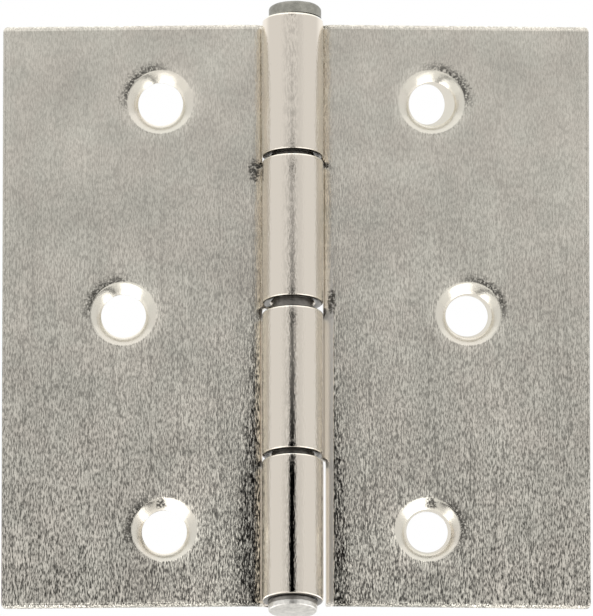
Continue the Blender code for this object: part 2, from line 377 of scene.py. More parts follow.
@dataclass(frozen=True)
class SheetLine:
    """Middle line of the sheet, seen along the pin, from the leaf's outer edge to the rolled end."""

    stock: Stock
    width: float
    joggle_steps: int = 8
    ramp_steps: int = 6
    roll_step: float = math.radians(3.0)

    @property
    def middle(self) -> float:
        """Distance from the pin's axis back to the middle of the flat sheet."""
        return self.stock.setback + self.stock.sheet / 2

    @property
    def ramp_line(self) -> float:
        """Length of the ramp up to the point where it would meet the flat."""
        angle = self.stock.ramp_angle
        return (self.stock.roll_radius * math.cos(angle) - self.middle) / math.sin(angle)

    @property
    def roll_start(self) -> float:
        """Angle round the pin at which the ramp turns into the roll."""
        return math.pi / 2 - self.stock.ramp_angle

    @property
    def roll_end(self) -> float:
        """Angle at which the rolled end stops, short of its own ramp."""
        over_seam = math.asin((self.stock.bore_radius - self.stock.seam_gap) / self.stock.barrel_radius)
        return 2 * math.pi + over_seam - self.stock.ramp_angle

    @property
    def flat(self) -> float:
        """Run of the flat part."""
        stock, angle = self.stock, self.stock.ramp_angle
        bend_x = stock.roll_radius * math.sin(angle) + self.ramp_line * math.cos(angle)
        return self.width - bend_x - stock.joggle_radius * math.tan(angle / 2)

    @property
    def joggle(self) -> float:
        """Run to the end of the joggle's arc."""
        return self.flat + self.stock.joggle_radius * self.stock.ramp_angle

    @property
    def ramp(self) -> float:
        """Run to the end of the ramp."""
        return self.joggle + self.ramp_line - self.stock.joggle_radius * math.tan(self.stock.ramp_angle / 2)

    @property
    def length(self) -> float:
        """Whole run of the sheet."""
        return self.ramp + self.stock.roll_radius * (self.roll_end - self.roll_start)

    def place(self, run: float) -> tuple[Vector, Vector]:
        """Follows the line.

        Args:
            run: Distance from the outer edge along the sheet.

        Returns:
            The point there and the line's direction, both in the plane across the pin.
        """
        stock = self.stock
        if run <= self.flat:
            return Vector((self.width - run, self.middle)), Vector((-1.0, 0.0))
        if run <= self.joggle:
            turn = (run - self.flat) / stock.joggle_radius
            x = self.width - self.flat - stock.joggle_radius * math.sin(turn)
            y = self.middle + stock.joggle_radius * (1 - math.cos(turn))
            return Vector((x, y)), Vector((-math.cos(turn), math.sin(turn)))
        if run <= self.ramp:
            start = Vector((math.cos(self.roll_start), math.sin(self.roll_start))) * stock.roll_radius
            along = Vector((-math.cos(stock.ramp_angle), math.sin(stock.ramp_angle)))
            return start - along * (self.ramp - run), along
        angle = self.roll_start + (run - self.ramp) / stock.roll_radius
        out = Vector((math.cos(angle), math.sin(angle)))
        return out * stock.roll_radius, Vector((-out.y, out.x))

    def creases(self) -> list[float]:
        """Divides the bends into short straight stretches.

        Returns:
            Runs at which the blank is divided.
        """
        steps = self.joggle_steps
        runs = [self.flat + (self.joggle - self.flat) * i / steps for i in range(steps + 1)]
        steps = self.ramp_steps
        runs += [self.joggle + (self.ramp - self.joggle) * i / steps for i in range(1, steps)]
        steps = math.ceil((self.roll_end - self.roll_start) / self.roll_step)
        return runs + [self.ramp + (self.length - self.ramp) * i / steps for i in range(steps)]

    def notch(self, clearance: float) -> float:
        """Works out how deep a notch is.

        Args:
            clearance: Gap between its rounded corner and the other leaf's knuckle.

        Returns:
            Run of its edge.
        """
        stock = self.stock
        to_centre = stock.barrel_radius + clearance + stock.edge_round
        reach = math.sqrt(to_centre**2 - (stock.bore_radius + stock.edge_round) ** 2) - stock.edge_round
        return self.ramp - reach


def add_piece(name: str, bm: bmesh.types.BMesh, sharp: float = math.radians(40)) -> bpy.types.Object:
    """Turns a mesh into a named, smooth shaded object at the origin.

    Args:
        name: Name of the object and its mesh.
        bm: The shape, which is used up.
        sharp: Angle from which an edge stays sharp.

    Returns:
        The new object.
    """
    bmesh.ops.recalc_face_normals(bm, faces=bm.faces)
    mesh = bpy.data.meshes.new(name)
    bm.to_mesh(mesh)
    bm.free()
    mesh.shade_smooth()
    mesh.set_sharp_from_angle(angle=sharp)
    made = bpy.data.objects.new(name, mesh)
    bpy.context.scene.collection.objects.link(made)
    return made


def cut_away(piece: bpy.types.Object, tools: list[bpy.types.Object]) -> None:
    """Cuts a piece by its tools, keeps the result as its mesh and removes the tools.

    Args:
        piece: Object to be cut.
        tools: Closed cutters.
    """
    for tool in tools:
        cut = piece.modifiers.new(tool.name, "BOOLEAN")
        cut.operation = "DIFFERENCE"
        cut.solver = "EXACT"
        cut.object = tool
    bpy.context.view_layer.update()
    graph = bpy.context.evaluated_depsgraph_get()
    result = bpy.data.meshes.new_from_object(piece.evaluated_get(graph))
    piece.modifiers.clear()
    piece.data = result
    for tool in tools:
        bpy.data.objects.remove(tool, do_unlink=True)


def add_square(name: str, half: float) -> bpy.types.Object:
    """Makes a level square.

    Args:
        name: Name of the object.
        half: Half of its side.

    Returns:
        The new object.
    """
    bm = bmesh.new()
    bmesh.ops.create_grid(bm, x_segments=1, y_segments=1, size=half)
    return add_piece(name, bm)


def stepped_round(sections: list[Point], sides: int, stretch: float = 1.0) -> bmesh.types.BMesh:
    """Closed round solid about Z with plain flat ends.

    Args:
        sections: Height and diameter of each section, from the bottom up.
        sides: Number of sides.
        stretch: Height of the outline over its width.

    Returns:
        The solid.
    """
    bm = bmesh.new()
    height, diameter = sections[0]
    place = Matrix.Translation((0, 0, height))
    bmesh.ops.create_circle(bm, cap_ends=True, segments=sides, radius=diameter / 2, matrix=place)
    face = bm.faces[:][0]
    foot = face
    for (low, narrow), (high, wide) in zip(sections, sections[1:]):
        raised = bmesh.ops.extrude_face_region(bm, geom=[face])
        rim = [v for v in raised["geom"] if isinstance(v, bmesh.types.BMVert)]
        if face is not foot:
            bmesh.ops.delete(bm, geom=[face], context="FACES_ONLY")
        face = [f for f in raised["geom"] if isinstance(f, bmesh.types.BMFace)][0]
        bmesh.ops.translate(bm, verts=rim, vec=(0, 0, high - low))
        bmesh.ops.scale(bm, vec=(wide / narrow, wide / narrow, 1), verts=rim)
    bmesh.ops.scale(bm, vec=(1, stretch, 1), verts=bm.verts)
    return bm


@dataclass(frozen=True)
class NickelPlate:
    """Bright nickel over rolled sheet: upright grain, orange peel, and a smoother barrel.

    A band is the two places or values between which a soft step runs from 0 to 1, and heights are such a
    band along Z. A share, lift, calm or contrast says how strongly the mark before it works. Light and shade
    are painted into the colour too: highlights on the barrel's flanks, rims and countersinks, shade on the
    knuckle ends and crease, dark reflections beside the barrel and at the holes, and the barrel's
    reflection on the strip beside it.
    """

    flat_colour: Colour = (0.545, 0.511, 0.45)
    cool_cast: Colour = (0.98, 1.0, 1.0)
    rolled_colour: Colour = (0.67, 0.615, 0.54)
    # Painted reflection of the barrel's side on the strip beside it.
    strip_reflection_colour: Colour = (0.73, 0.7, 0.65)
    # Colour of the stains and of the painted dark reflections.
    stain_and_reflection_colour: Colour = (0.09, 0.085, 0.075)
    cloud: Grain = Grain(4.0 * MM, 2.0, 0.6)
    cloud_band: Band = (0.35, 0.65)
    flat_roughness: float = 0.13
    rolled_roughness: float = 0.07
    sheared_roughness: float = 0.34
    pressed_roughness: float = 0.08
    strip_roughness: float = 0.25
    streak: Grain = Grain(0.5 * MM, 2.0, 0.6, 0.05)
    streak_roughness: float = 0.06
    relief: float = 0.05 * MM
    upright: Grain = Grain(0.18 * MM, 3.0, 0.6, 0.25)
    upright_band: Band = (0.4, 0.6)
    upright_share: float = 0.8
    peel: Grain = Grain(0.24 * MM, 2.0, 0.55)
    peel_share: float = 0.5
    slit_pitch: float = 0.33 * MM
    slit_band: Band = (1.15 * MM, 0.3 * MM)
    slit_share: float = 0.9
    rolled_band: Band = (0.22 * MM, 0.08 * MM)
    rolled_calm: float = 0.5
    front_band: Band = (1.75 * MM, 1.55 * MM)
    back_band: Band = (1.92 * MM, 1.86 * MM)
    sheared_band: Band = (-0.3 * MM, -0.12 * MM)
    sheared_peel: float = 2.5
    sheared_lift: float = 0.3
    sheared_speck: float = 0.45
    strip_wander: Grain = Grain(0.3 * MM)
    strip_wander_width: float = 0.15 * MM
    strip_band: Band = (0.06 * MM, -0.06 * MM)
    strip_heights: Band = (12.0 * MM, -4.0 * MM)
    strip_calm: float = 0.85
    centre_shift: float = 0.15 * MM
    centre_band: Band = (1.0 * MM, 0.3 * MM)
    centre_heights: Band = (8.0 * MM, -12.0 * MM)
    centre_stir: float = 0.15
    centre_settle: float = 0.35
    centre_speck: float = 0.25
    speck: Grain = Grain(0.115 * MM, 2.0, 0.6, 0.25)
    speck_band: Band = (0.32, 0.68)
    top_contrast: float = 0.3
    low_contrast: float = 1.5
    low_heights: Band = (-4.0 * MM, -32.0 * MM)
    # The beside fields paint a dark reflection beside the barrel: darker, with stronger speckle.
    beside_ragged: Grain = Grain(0.35 * MM, 2.0, 0.6)
    beside_ragged_width: float = 1.6 * MM
    beside_spread: float = 1.2 * MM
    beside_band: Band = (5.0 * MM, 3.7 * MM)
    beside_heights: Band = (4.0 * MM, -18.0 * MM)
    beside_contrast: float = 2.2
    beside_dark_reflection: float = 0.5
    fall: float = 0.24
    lift_band: Band = (15.0 * MM, 5.0 * MM)
    drift: Grain = Grain(6.0 * MM, 3.0, 0.55)
    drift_share: float = 0.5
    lines: Grain = Grain(0.22 * MM, 2.0, 0.6, 0.02)
    line_band: Band = (0.54, 0.7)
    line_growth: float = 1.3
    line_start: float = 0.2
    line_depth: float = 0.38
    darkest: float = 0.03
    crease_band: Band = (3.3 * MM, 3.14 * MM)
    crease_heights: Band = (4.0 * MM, -1.0 * MM)
    end_band: Band = (0.08 * MM, 0.03 * MM)
    shadow_depth: float = 0.85
    edge_band: Band = (-0.6 * MM, -0.48 * MM)
    edge_lift: float = 0.45
    rim_inset: float = 0.12 * MM
    rim_band: Band = (0.2 * MM, 0.1 * MM)
    rim_lift: float = 0.55
    # Painted highlight on the barrel's flanks, growing lower down.
    flank_highlight_band: Band = (2.3 * MM, 2.8 * MM)
    flank_highlight_heights: Band = (10.0 * MM, -26.0 * MM)
    flank_highlight: float = 0.34
    flank_highlight_growth: float = 0.15
    pressed_band: Band = (0.15 * MM, -0.02 * MM)
    # Painted highlight on the pressed cone.
    pressed_highlight: float = 0.22
    pressed_calm: float = 0.8
    foot_band: Band = (-0.6 * MM, -0.9 * MM)
    # Painted highlight on the foot of the countersink.
    foot_highlight: float = 0.3
    # Painted highlight in a halo round the mouth.
    halo_band: Band = (1.5 * MM, 0.0)
    halo_highlight: float = 0.2
    # Stains with painted dark reflections beside the holes, and single marks, follow.
    stain_and_reflection: Grain = Grain(0.3 * MM, 3.0, 0.8)
    stain_and_reflection_ragged: float = 2.0 * MM
    stain_and_reflection_outer: Band = (2.3 * MM, 1.2 * MM)
    stain_and_reflection_inner: Band = (0.02 * MM, 0.1 * MM)
    stain_and_reflection_side: Band = (0.3, 0.95)
    low_hole: float = -10.0 * MM
    low_stain_and_reflection_rise: float = 0.3
    stain_and_reflection_speck: Grain = Grain(0.2 * MM, 2.0, 0.6)
    stain_and_reflection_speck_band: Band = (0.34, 0.54)
    mark_ragged: float = 1.6
    mark_core: float = 0.6

    def material(self, name: str, leaf: "Leaf") -> bpy.types.Material:
        """Makes the finish for one leaf.

        Args:
            name: Name of the material.
            leaf: Leaf whose holes and edges it follows.

        Returns:
            The material.
        """
        made = bpy.data.materials.new(name)
        PlateTree(self, leaf, Shading(made)).finish()
        return made


class PlateTree:
    """Node tree of one leaf's plating while it is put together."""

    def __init__(self, plate: NickelPlate, leaf: "Leaf", shading: Shading) -> None:
        """Reads the place on the leaf, and works out which part of it lies there.

        Args:
            plate: Finish that it follows.
            leaf: Leaf that it dresses.
            shading: Empty tree of the material.
        """
        self.plate, self.leaf, self.s = plate, leaf, shading
        self.place = shading.place()
        self.x, y, self.z = shading.axes(self.place)
        self.across = abs(self.x)
        self.half = leaf.stock.height / 2
        from_axis = (self.x * self.x + y * y) ** 0.5
        self.rolled = from_axis.rise(plate.rolled_band, leaf.stock.barrel_radius)
        depth = y - self.across * math.tan(leaf.stock.lean)
        self.front = depth.rise(plate.front_band)
        self.before_back = depth.rise(plate.back_band)
        self.sheared = abs(self.z).rise(plate.sheared_band, self.half) * (1.0 - self.rolled)
        wander = (self.grain(plate.strip_wander) - 0.5) * plate.strip_wander_width
        strip = (self.across + wander).rise(plate.strip_band, leaf.strip_width) * (1.0 - self.rolled)
        self.strip = strip * self.z.rise(plate.strip_heights)
        self.centre = abs(self.x + plate.centre_shift).rise(plate.centre_band) * self.rolled

    def grain(self, grain: Grain) -> Field:
        """Noise on the leaf."""
        return self.s.grain(self.place, grain)

    def finish(self) -> None:
        """Puts the masks together and makes the shader."""
        s, plate, rolled, strip, sheared = self.s, self.plate, self.rolled, self.strip, self.sheared
        pressed, light, stain_and_reflection = self._round_holes()
        upright, peel = self.grain(plate.upright), self.grain(plate.peel)
        stir = plate.centre_stir - self.z.rise(plate.centre_heights) * plate.centre_settle
        calm = (rolled * plate.rolled_calm - self.centre * stir).most(pressed * plate.pressed_calm)
        height = upright * plate.upright_share + peel * plate.peel_share + self._slit_marks()
        height = height * (1.0 - calm.most(strip * plate.strip_calm)) + peel * sheared * plate.sheared_peel

        cool = tuple(part * cast for part, cast in zip(plate.flat_colour, plate.cool_cast))
        flat = s.blend(self.grain(plate.cloud).rise(plate.cloud_band), plate.flat_colour, cool)
        # The strip beside the barrel takes a painted reflection of the barrel's side as its colour.
        flat = s.blend(strip, flat, plate.strip_reflection_colour)
        plain = (1.0 - rolled.most(pressed)) * (1.0 - strip)
        centre_speck = self.centre * (upright.rise(plate.upright_band) - 0.5) * plate.centre_speck
        shade = 1.0 + (self._speckle() - 1.0) * plain + centre_speck
        # Painted highlight on the barrel's flanks, growing lower down.
        turned = plate.flank_highlight + self.z.rise(plate.flank_highlight_heights) * plate.flank_highlight_growth
        turned = self.across.rise(plate.flank_highlight_band) * turned
        colour = s.shade(s.blend(rolled, flat, plate.rolled_colour), shade * (1.0 + rolled * turned))
        colour = s.shade(colour, 1.0 - self._shadows() * plate.shadow_depth)
        sheared_lift = plate.sheared_lift - peel.rise(plate.upright_band) * plate.sheared_speck
        colour = s.shade(colour, (1.0 + light + self._rim_light()) * (1.0 + sheared * sheared_lift))

        roughness = plate.flat_roughness + rolled * (plate.rolled_roughness - plate.flat_roughness)
        roughness = roughness + sheared * (plate.sheared_roughness - plate.flat_roughness)
        roughness = roughness + (self.grain(plate.streak) - 0.5) * plate.streak_roughness
        roughness = roughness + pressed * plate.pressed_roughness + strip * plate.strip_roughness
        # Stains and painted dark reflections take the dark colour.
        s.metal(s.blend(stain_and_reflection, colour, plate.stain_and_reflection_colour), roughness, s.bump(height, plate.relief))

    def _speckle(self) -> Field:
        """Works out the upright speckle, stronger lower down, with a painted dark reflection beside the
        barrel.

        Returns:
            Factor on the flat's colour.
        """
        plate, z = self.plate, self.z
        down = 0.5 - z / (2 * self.half)
        # Painted dark reflection beside the barrel: darker, with stronger speckle.
        ragged = (self.grain(plate.beside_ragged) - 0.5) * plate.beside_ragged_width
        beside = self.across - z.rise(plate.low_heights) * plate.beside_spread + ragged
        beside = beside.rise(plate.beside_band) * z.rise(plate.beside_heights)
        contrast = plate.top_contrast + down * down * plate.low_contrast + beside * plate.beside_contrast
        lift = self.across.rise(plate.lift_band) * down * down * self.leaf.lift
        level = (1.0 - down * plate.fall) * (1.0 - beside * plate.beside_dark_reflection) * (1.0 + lift)
        level = level * (1.0 + (self.grain(plate.drift) - 0.5) * plate.drift_share)
        deep = (down * plate.line_growth - plate.line_start).most(0.0) * plate.line_depth
        level = level * (1.0 - self.grain(plate.lines).rise(plate.line_band) * deep)
        speck = self.grain(plate.speck).rise(plate.speck_band) - 0.5
        return (level * (1.0 + speck * contrast)).most(plate.darkest)

    def _shadows(self) -> Field:
        """Finds the end faces of the knuckles and the crease beside the barrel.

        Returns:
            How dark they are.
        """
        dark = self.across.rise(self.plate.crease_band) * (1.0 - self.rolled)
        dark = dark * self.z.rise(self.plate.crease_heights) * self.front * self.leaf.crease_shade
        for end in sum(self.leaf.knuckles, ()):
            dark = dark.most(abs(self.z - end).rise(self.plate.end_band) * self.rolled)
        return dark

    def _rim_light(self) -> Field:
        """Finds the leaf's top edge and the top rim of each knuckle.

        Returns:
            How much lighter they are.
        """
        plate = self.plate
        light = self.z.rise(plate.edge_band, self.half) * (1.0 - self.rolled) * plate.edge_lift
        for top, _ in self.leaf.knuckles:
            rim = abs(self.z - top + plate.rim_inset).rise(plate.rim_band)
            light = light + rim * self.rolled * plate.rim_lift
        return light

    def _from_point(self, x: float, z: float, squash: float = 1.0) -> Field:
        """Vector from a point of the leaf, seen from the front, with Z squashed."""
        moved = self.s.vector("SUBTRACT", self.place, (x, 0.0, z))
        return self.s.vector("MULTIPLY", moved, (1.0, 0.0, squash))

    def _round_holes(self) -> tuple[Field, Field, Field]:
        """Makes the masks round the countersinks, and the stains and painted dark reflections.

        Returns:
            Where the press has smoothed the steel, the painted highlight round each countersink, and where
            the stains and painted dark reflections lie.
        """
        s, plate, mouth = self.s, self.plate, self.leaf.sink.mouth / 2
        pressed = light = stain_and_reflection = self.x * 0.0
        ragged = self.grain(plate.stain_and_reflection)
        for x, z in self.leaf.hole_places():
            from_hole = self._from_point(x, z)
            # Dark mark on each hole's outer, upper side: a stain with a painted dark reflection.
            rise = 1.0 if z > plate.low_hole else plate.low_stain_and_reflection_rise
            towards = Vector((self.leaf.side.value, 0.0, rise)).normalized()
            distance = s.number("LENGTH", from_hole)
            aside = (s.number("DOT_PRODUCT", from_hole, towards) / distance).rise(plate.stain_and_reflection_side)
            outer = (distance + ragged * plate.stain_and_reflection_ragged).rise(plate.stain_and_reflection_outer, mouth)
            stain_and_reflection = stain_and_reflection.most(aside * outer * distance.rise(plate.stain_and_reflection_inner, mouth))
            # Painted highlights on the pressed cone, its foot and a halo round the mouth.
            inside = distance.rise(plate.pressed_band, mouth) * self.before_back
            foot = distance.rise(plate.foot_band, mouth) * self.before_back
            halo = distance.rise(plate.halo_band, mouth) * (1.0 - inside) * self.front
            light = light + inside * plate.pressed_highlight + foot * plate.foot_highlight + halo * plate.halo_highlight
            pressed = pressed.most(inside)
        # Single marks; those at the tops of the lower countersinks are painted dark reflections.
        for mark in self.leaf.marks:
            distance = s.number("LENGTH", self._from_point(mark.x, mark.z, mark.squash))
            distance = distance + (ragged - 0.5) * plate.mark_ragged * mark.radius
            stain_and_reflection = stain_and_reflection.most(distance.rise((mark.radius, mark.radius * plate.mark_core)))
        speck = self.grain(plate.stain_and_reflection_speck).rise(plate.stain_and_reflection_speck_band)
        return pressed, light, stain_and_reflection * self.front * speck

    def _slit_marks(self) -> Field:
        """Follows the fine lines that the slitting left beside the leaf's outer edge.

        Returns:
            Their height.
        """
        from_edge = self.leaf.width * math.cos(self.leaf.stock.lean) - self.across
        wave = (from_edge * (2 * math.pi / self.plate.slit_pitch)).sine()
        return wave * from_edge.rise(self.plate.slit_band) * self.plate.slit_share


@dataclass(frozen=True)
class PeenedSteel:
    """Steel pin: dull grey where it was cut, brighter and hammered at its lower end."""

    top_colour: Colour = (0.31, 0.302, 0.266)
    shank_colour: Colour = (0.24, 0.225, 0.205)
    low_colour: Colour = (0.68, 0.66, 0.62)
    top_roughness: float = 0.42
    low_roughness: float = 0.36
    relief: float = 0.05 * MM
    head_band: Band = (-0.1 * MM, 0.05 * MM)
    neck_band: Band = (0.04 * MM, -0.04 * MM)
    neck_ragged: float = 0.25 * MM
    blots: Grain = Grain(0.55 * MM, 3.0, 0.6)
    darkest: float = 0.5
    roughness_spread: float = 0.2
    dents: Grain = Grain(0.8 * MM, 3.0, 0.6)
    pits: Grain = Grain(0.2 * MM)
    pit_share: float = 0.4

    def material(self, name: str, reach: float, neck: float) -> bpy.types.Material:
        """Makes the finish.

        Args:
            name: Name of the material.
            reach: Height at which the shank ends and the upper head starts.
            neck: Depth at which the hammered part of the lower head starts, under its dark neck.

        Returns:
            The material.
        """
        made = bpy.data.materials.new(name)
        s = Shading(made)
        place = s.place()
        z = s.axes(place)[2]
        blots = s.grain(place, self.blots)
        top = z.rise(self.head_band, reach)
        low = (z + (blots - 0.5) * self.neck_ragged).rise(self.neck_band, -neck)
        colour = s.blend(low, s.blend(top, self.shank_colour, self.top_colour), self.low_colour)
        colour = s.shade(colour, self.darkest + blots)
        roughness = self.top_roughness + low * (self.low_roughness - self.top_roughness)
        roughness = roughness + (blots - 0.5) * self.roughness_spread
        height = s.grain(place, self.dents) + s.grain(place, self.pits) * self.pit_share
        s.metal(colour, roughness, s.bump(height, self.relief))
        return made


@dataclass
class Leaf:
    """One leaf of the hinge, formed from its flat blank.

    The ends of its knuckles keep the crisp shares of the blank's rounding, upper ends first.
    """

    name: str
    node: str
    body: str
    side: Side
    width: float
    knuckles: tuple[Point, ...]
    clearances: tuple[float, ...]
    holes: tuple[Hole, ...]
    marks: tuple[DarkMark, ...]
    strip_width: float
    crease_shade: float
    lift: float
    stock: Stock = field(default_factory=Stock)
    sink: Countersink = field(default_factory=Countersink)
    round_steps: int = 4
    corner_steps: int = 8
    ease: float = 1.1 * MM
    ease_depth: float = 0.06 * MM
    ease_steps: int = 6
    thinned: float = 0.17 * MM
    thinned_length: float = 3.4 * MM
    crisp: Pair = (0.65, 0.4)
    crisp_length: float = 0.8 * MM
    sharp: float = math.radians(30)

    def __post_init__(self) -> None:
        """Lays out the sheet's line."""
        self.line = SheetLine(self.stock, self.width)

    def hole_places(self) -> list[Point]:
        """Places the holes with the leaf's lean.

        Returns:
            X and Z of each hole.
        """
        lean = math.cos(self.stock.lean)
        back = math.sin(self.stock.lean) * self.stock.setback
        return [(self.side.value * ((self.width - h.inset) * lean - back), h.rise) for h in self.holes]

    def _corners(self) -> list[tuple[Point, float]]:
        """Follows the flat blank and its notches.

        Returns:
            Corners of the blank, each with its radius.
        """
        half = self.stock.height / 2
        corners = [((0.0, -half), self.stock.corner_round), ((0.0, half), self.stock.corner_round)]
        notches = [self.line.notch(clearance) for clearance in self.clearances]
        radius = self.stock.notch_radius
        height = half
        for top, bottom in self.knuckles:
            if top < height:
                notch = notches.pop(0)
                upper = radius if height < half else 0.0
                corners += [((notch, height), upper), ((notch, top), radius)]
            corners += [((self.line.length, top), 0.0), ((self.line.length, bottom), 0.0)]
            height = bottom
        if height > -half:
            notch = notches.pop(0)
            corners += [((notch, height), radius), ((notch, -half), 0.0)]
        return corners

    def _fillet(self, corner: Vector, before: Vector, after: Vector, radius: float) -> list[Vector]:
        """Rounds one corner of the outline.

        Args:
            corner: The sharp corner.
            before: Corner that the outline comes from.
            after: Corner that it goes to.
            radius: Radius of the arc.

        Returns:
            Points of the arc.
        """
        to_before = (before - corner).normalized()
        to_after = (after - corner).normalized()
        centre = corner + (to_before + to_after) * radius
        points = []
        for i in range(self.corner_steps + 1):
            turn = math.pi / 2 * i / self.corner_steps
            points.append(centre - to_after * radius * math.cos(turn) - to_before * radius * math.sin(turn))
        return points

    def _outline(self) -> list[Vector]:
        """Rounds the corners of the flat blank.

        Returns:
            Points with the run from the outer edge along X and the height along Y.
        """
        corners = self._corners()
        outline = []
        for i, (corner, radius) in enumerate(corners):
            before, after = corners[i - 1][0], corners[(i + 1) % len(corners)][0]
            if radius:
                outline += self._fillet(Vector(corner), Vector(before), Vector(after), radius)
            else:
                outline.append(Vector(corner))
        return outline

    def _blank(self) -> bmesh.types.BMesh:
        """Makes the flat blank with rounded edges, divided where it bends.

        Returns:
            The blank, its middle plane at Z = 0.
        """
        sheet = self.stock.sheet
        bm = bmesh.new()
        face = bm.faces.new([bm.verts.new((p.x, p.y, -sheet / 2)) for p in self._outline()])
        raised = bmesh.ops.extrude_face_region(bm, geom=[face])
        top = [v for v in raised["geom"] if isinstance(v, bmesh.types.BMVert)]
        bmesh.ops.translate(bm, verts=top, vec=(0, 0, sheet))
        bmesh.ops.recalc_face_normals(bm, faces=bm.faces)
        rims = [e for e in bm.edges if abs(e.verts[0].co.z - e.verts[1].co.z) < sheet / 2]
        bmesh.ops.bevel(
            bm, geom=rims, offset=self.stock.edge_round, offset_type="OFFSET", segments=self.round_steps,
            profile=0.5, affect="EDGES", clamp_overlap=False, material=-1,
        )
        for run in self.line.creases():
            self._divide(bm, (run, 0, 0), (1, 0, 0))
        for end in self._knuckle_ends():
            for i in range(self.ease_steps):
                share = (i + 1) / self.ease_steps
                step = self.stock.edge_round + (self.ease - self.stock.edge_round) * share
                self._divide(bm, (0, end[0] + end[1] * step, 0), (0, 1, 0))
        return bm

    @staticmethod
    def _divide(bm: bmesh.types.BMesh, point: tuple[float, ...], normal: tuple[float, ...]) -> None:
        """Divides every face that a plane crosses."""
        whole = bm.verts[:] + bm.edges[:] + bm.faces[:]
        bmesh.ops.bisect_plane(bm, geom=whole, dist=MERGE, plane_co=point, plane_no=normal)

    def _knuckle_ends(self) -> list[tuple[float, int]]:
        """Lists the ends of the knuckles.

        Returns:
            Height of each end and the direction from it into the knuckle.
        """
        ends = []
        for top, bottom in self.knuckles:
            ends += [(top, -1), (bottom, 1)]
        return ends

    def _eased(self, run: float, height: float, depth: float) -> tuple[float, float]:
        """Thins the back of the ramp, and shapes the outside of a knuckle towards its ends.

        Args:
            run: Distance along the sheet.
            height: Height on the leaf.
            depth: Distance from the sheet's middle, positive towards the pin.

        Returns:
            The new height and the new distance from the sheet's middle.
        """
        if depth > 0:
            return height, depth
        half = self.stock.sheet / 2
        if run < self.line.ramp:
            share = max(0.0, 1 - abs((self.line.ramp - run) / self.thinned_length * 2 - 1))
            depth -= self.thinned * min(1.0, 2 * share) * depth / half
        radius = self.stock.edge_round
        end, inwards = min(self._knuckle_ends(), key=lambda found: abs(height - found[0]))
        nearest = (height - end) * inwards
        crisp = min(1.0, max(0.0, (run - self.line.ramp) / self.crisp_length + 1.0))
        keep = 1.0 - (1.0 - self.crisp[0 if inwards < 0 else 1]) * crisp
        if -MERGE < nearest < radius + MERGE and run > self.line.ramp - self.crisp_length:
            height = end + inwards * nearest * keep
            if half + depth < radius + MERGE:
                depth = (half + depth) * keep - half
        if run > self.line.ramp:
            share = max(0.0, 1 - nearest / self.ease)
            depth -= self.ease_depth * share**2 * depth / half
        return height, depth

    def _bend(self, bm: bmesh.types.BMesh) -> None:
        """Wraps the flat blank along the sheet's line, with the countersunk side to the front.

        Args:
            bm: The blank.
        """
        for vert in bm.verts:
            run, height, depth = vert.co
            point, along = self.line.place(run)
            across = Vector((-along.y, along.x))
            height, depth = self._eased(run, height, depth)
            place = point + across * depth
            vert.co = (place.x, place.y, height)

    def _cutters(self) -> list[bpy.types.Object]:
        """Makes the countersink and the bore of each hole.

        Returns:
            The cutters, ready in place.
        """
        side, stock = self.side.value, self.stock
        over = stock.sheet / 2
        lean = Matrix.Rotation(side * stock.lean, 4, "Z")
        tip = Matrix.Rotation(math.radians(90), 4, "X")
        tools = []
        for i, hole in enumerate(self.holes, start=1):
            x = side * (self.width - hole.inset)
            through = [(-stock.sheet - over, hole.bore_width), (-self.sink.depth / 2, hole.bore_width)]
            sink = stepped_round(self.sink.sections(over), self.sink.sides)
            bore = stepped_round(through, self.sink.sides, hole.bore_height / hole.bore_width)
            for kind, bm, shift in (("sink", sink, 0.0), ("bore", bore, side * hole.shift)):
                place = Matrix.Translation((x - shift, stock.setback, hole.rise))
                bmesh.ops.transform(bm, matrix=lean @ place @ tip, verts=bm.verts)
                tools.append(add_piece(f"{self.name}_{kind}_{i}", bm))
        return tools

    def build(self) -> bpy.types.Object:
        """Forms the leaf.

        Returns:
            The finished leaf, riding on its body in place of its solid.
        """
        bm = self._blank()
        self._bend(bm)
        if self.side is Side.LEFT:
            bmesh.ops.transform(bm, matrix=Matrix.Scale(-1, 4, (1, 0, 0)), verts=bm.verts)
        lean = Matrix.Rotation(self.side.value * self.stock.lean, 4, "Z")
        bmesh.ops.transform(bm, matrix=lean, verts=bm.verts)
        piece = add_piece(self.name, bm)
        cut_away(piece, self._cutters())
        piece.data.shade_smooth()
        piece.data.set_sharp_from_angle(angle=self.sharp)
        flat = piece.modifiers.new("flat_faces", "WEIGHTED_NORMAL")
        flat.keep_sharp = True
        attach(piece, self.body)
        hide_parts(self.node)
        return piece

    def dress(self, piece: bpy.types.Object, finish: NickelPlate) -> None:
        """Gives the leaf its plating.

        Args:
            piece: The finished leaf.
            finish: Its plating.
        """
        piece.data.materials.clear()
        piece.data.materials.append(finish.material(f"{self.name}_plate", self))


